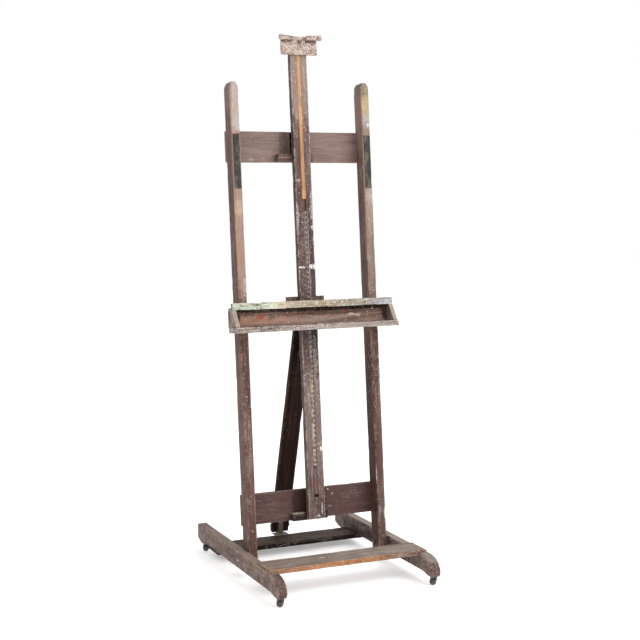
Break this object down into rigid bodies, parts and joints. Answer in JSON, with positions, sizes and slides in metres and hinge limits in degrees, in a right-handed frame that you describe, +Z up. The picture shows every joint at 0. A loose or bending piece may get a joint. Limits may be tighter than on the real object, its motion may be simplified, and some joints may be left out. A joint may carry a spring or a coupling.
{
  "type": "h frame easel",
  "caption": "Old wooden H frame studio easel with a ratchet tray, a sliding head clamp, a rear strut and casters, stained dark and crusted with dried paint.",
  "frame": {"origin": "on the floor, in the middle of the base", "axes": "+X to the right seen from the front, front faces -Y, +Z up"},
  "size_m": [0.6696, 0.8464, 2.0448],
  "materials": {
    "stained_wood": "old dark stain, worn, with paint marks",
    "bare_wood": "worn bare wood",
    "dark_wood": "near black stain",
    "pale_paint": "layers of pale oil paint",
    "crusted_paint": "thick crust of dried oil paint",
    "pad_felt": "dark worn facing strip",
    "rack_steel": "dull, paint in the teeth",
    "fastener_steel": "dull",
    "caster_iron": "dull black",
    "wheel_rubber": "worn"
  },
  "bodies": {
    "base": {"runner_left": "stained_wood", "runner_right": "stained_wood", "front_board": "bare_wood", "rear_board": "stained_wood", "pivot_bolt_left": "fastener_steel", "pivot_bolt_right": "fastener_steel", "strut_bracket": "fastener_steel", "bracket_tongue": "fastener_steel", "caster_plate_front_left": "caster_iron", "caster_plate_front_right": "caster_iron", "caster_plate_back_left": "caster_iron", "caster_plate_back_right": "caster_iron"},
    "leaning_frame": {"upright_left": "stained_wood", "upright_right": "stained_wood", "pad_left": "pad_felt", "pad_right": "pad_felt", "crossboard_upper": "stained_wood", "crossboard_lower": "stained_wood", "cleat_upper": "stained_wood", "cleat_lower": "stained_wood", "spacer_upper": "dark_wood", "spacer_lower": "dark_wood", "mast": "stained_wood", "mast_bolt": "fastener_steel", "rack": "rack_steel", "mast_lug": "fastener_steel", "lug_pin": "fastener_steel", "frame_bolt_upper_left": "fastener_steel", "frame_bolt_upper_right": "fastener_steel", "frame_bolt_lower_left": "fastener_steel", "frame_bolt_lower_right": "fastener_steel"},
    "tray": {"tray_rail": "pale_paint", "tray_back": "stained_wood", "tray_bottom": "stained_wood", "tray_cheek_left": "stained_wood", "tray_cheek_right": "stained_wood", "tray_spacer_left": "dark_wood", "tray_spacer_right": "dark_wood", "tray_keeper_left": "stained_wood", "tray_keeper_right": "stained_wood", "pawl_pin": "fastener_steel"},
    "pawl": {"tray_pawl": "fastener_steel"},
    "head": {"head_block": "crusted_paint", "head_lip_left": "crusted_paint", "head_lip_right": "crusted_paint", "head_slide": "bare_wood", "head_screw": "caster_iron"},
    "slide_lock": {"clamp_screw": "caster_iron"},
    "rear_strut": {"strut": "dark_wood", "foot_pin": "fastener_steel"},
    "bolt": {"swing_bolt": "fastener_steel"},
    "nut": {"wing_nut": "fastener_steel"},
    "yoke_front_left": {"caster_yoke_front_left": "caster_iron"},
    "wheel_front_left": {"caster_wheel_front_left": "wheel_rubber"},
    "yoke_front_right": {"caster_yoke_front_right": "caster_iron"},
    "wheel_front_right": {"caster_wheel_front_right": "wheel_rubber"},
    "yoke_back_left": {"caster_yoke_back_left": "caster_iron"},
    "wheel_back_left": {"caster_wheel_back_left": "wheel_rubber"},
    "yoke_back_right": {"caster_yoke_back_right": "caster_iron"},
    "wheel_back_right": {"caster_wheel_back_right": "wheel_rubber"}
  },
  "joints": [
    {"name": "frame_tilt", "type": "hinge", "parent": "base", "child": "leaning_frame", "pos_m": [0, -0.01852, 0.07338], "axis": [1, 0, 0], "range_deg": [-4, 6]},
    {"name": "tray_height", "type": "slide", "parent": "leaning_frame", "child": "tray", "axis": [0, 0.1005, 0.9949], "range_m": [-0.532, 0.399]},
    {"name": "pawl_release", "type": "hinge", "parent": "tray", "child": "pawl", "pos_m": [0, 0.03556, 0.98255], "axis": [1, 0, 0], "range_deg": [-3, 4], "stiffness_Nm_per_rad": 0.05},
    {"name": "head_height", "type": "slide", "parent": "leaning_frame", "child": "head", "axis": [0, 0.1005, 0.9949], "range_m": [0, 0.42]},
    {"name": "slide_lock_turn", "type": "hinge", "parent": "leaning_frame", "child": "slide_lock", "pos_m": [0, 0.16081, 1.91669], "axis": [0, 0.9949, -0.1005], "continuous": true},
    {"name": "strut_swing", "type": "hinge", "parent": "base", "child": "rear_strut", "pos_m": [0, 0.33825, 0.083], "axis": [1, 0, 0], "range_deg": [-4, 6]},
    {"name": "bolt_swing", "type": "hinge", "parent": "leaning_frame", "child": "bolt", "pos_m": [0, 0.10042, 0.82226], "axis": [1, 0, 0], "range_deg": [-1.5, 1.5]},
    {"name": "nut_turn", "type": "hinge", "parent": "bolt", "child": "nut", "pos_m": [0, 0.10042, 0.82226], "axis": [0, 0.9631, 0.2693], "continuous": true},
    {"name": "swivel_front_left", "type": "hinge", "parent": "base", "child": "yoke_front_left", "pos_m": [-0.3075, -0.40175, 0.031], "axis": [0, 0, 1], "continuous": true},
    {"name": "roll_front_left", "type": "hinge", "parent": "yoke_front_left", "child": "wheel_front_left", "pos_m": [-0.3075, -0.39575, 0.014], "axis": [1, 0, 0], "continuous": true},
    {"name": "swivel_front_right", "type": "hinge", "parent": "base", "child": "yoke_front_right", "pos_m": [0.3075, -0.40175, 0.031], "axis": [0, 0, 1], "continuous": true},
    {"name": "roll_front_right", "type": "hinge", "parent": "yoke_front_right", "child": "wheel_front_right", "pos_m": [0.3075, -0.39575, 0.014], "axis": [1, 0, 0], "continuous": true},
    {"name": "swivel_back_left", "type": "hinge", "parent": "base", "child": "yoke_back_left", "pos_m": [-0.3075, 0.37125, 0.031], "axis": [0, 0, 1], "continuous": true},
    {"name": "roll_back_left", "type": "hinge", "parent": "yoke_back_left", "child": "wheel_back_left", "pos_m": [-0.3075, 0.37725, 0.014], "axis": [1, 0, 0], "continuous": true},
    {"name": "swivel_back_right", "type": "hinge", "parent": "base", "child": "yoke_back_right", "pos_m": [0.3075, 0.37125, 0.031], "axis": [0, 0, 1], "continuous": true},
    {"name": "roll_back_right", "type": "hinge", "parent": "yoke_back_right", "child": "wheel_back_right", "pos_m": [0.3075, 0.37725, 0.014], "axis": [1, 0, 0], "continuous": true}
  ],
  "couplings": [
    {"joint": "strut_swing", "follows": "frame_tilt", "ratio": 0.885},
    {"joint": "bolt_swing", "follows": "frame_tilt", "ratio": -0.115}
  ]
}
